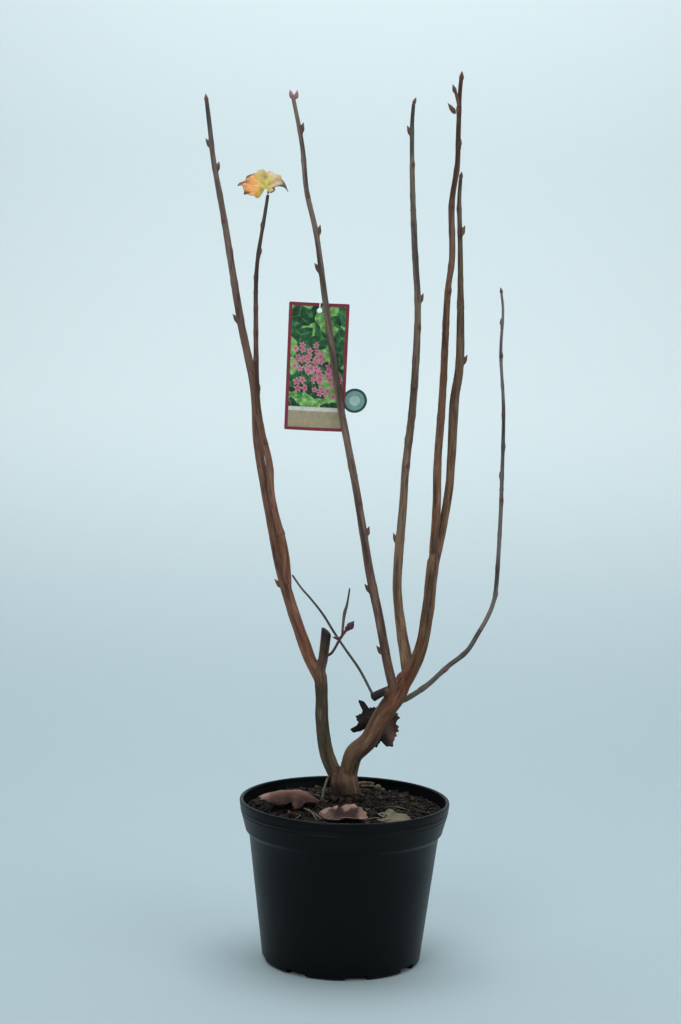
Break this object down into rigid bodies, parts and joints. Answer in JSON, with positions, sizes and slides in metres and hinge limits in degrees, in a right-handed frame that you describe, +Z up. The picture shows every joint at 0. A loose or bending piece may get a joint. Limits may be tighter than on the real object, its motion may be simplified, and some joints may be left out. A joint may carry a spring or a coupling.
{
  "type": "potted clove currant",
  "caption": "Leafless multi-stemmed clove currant shrub in a black plastic nursery pot, with one autumn leaf and a printed plant tag.",
  "frame": {"origin": "centre of the pot's flat underside", "axes": "+Z up; -Y is the front, where the picture was taken from; +X to the right in the picture"},
  "size_m": [0.3096, 0.207, 0.8642],
  "materials": {
    "pot": "satin",
    "compost": "matte",
    "bark": "matte",
    "tag": "gloss",
    "leaf": "matte",
    "dead_leaf": "matte"
  },
  "bodies": {
    "root": {"pot": "pot", "soil": "compost", "root_crown": "bark", "left_stem": "bark", "right_stem": "bark", "pruned_stub": "bark", "cane_a": "bark", "cane_b": "bark", "cane_c": "bark", "cane_d": "bark", "cane_e": "bark", "cane_e_left": "bark", "cane_e_right": "bark", "cane_f_lower": "bark", "cane_f_upper": "bark", "dead_spur": "bark", "thin_twig": "bark", "budded_twig": "bark", "plant_tag": "tag", "autumn_leaf": "leaf", "withered_leaf": "dead_leaf", "fallen_leaf_left": "dead_leaf", "fallen_leaf_front": "dead_leaf", "fallen_leaf_right": "dead_leaf"}
  },
  "joints": []
}
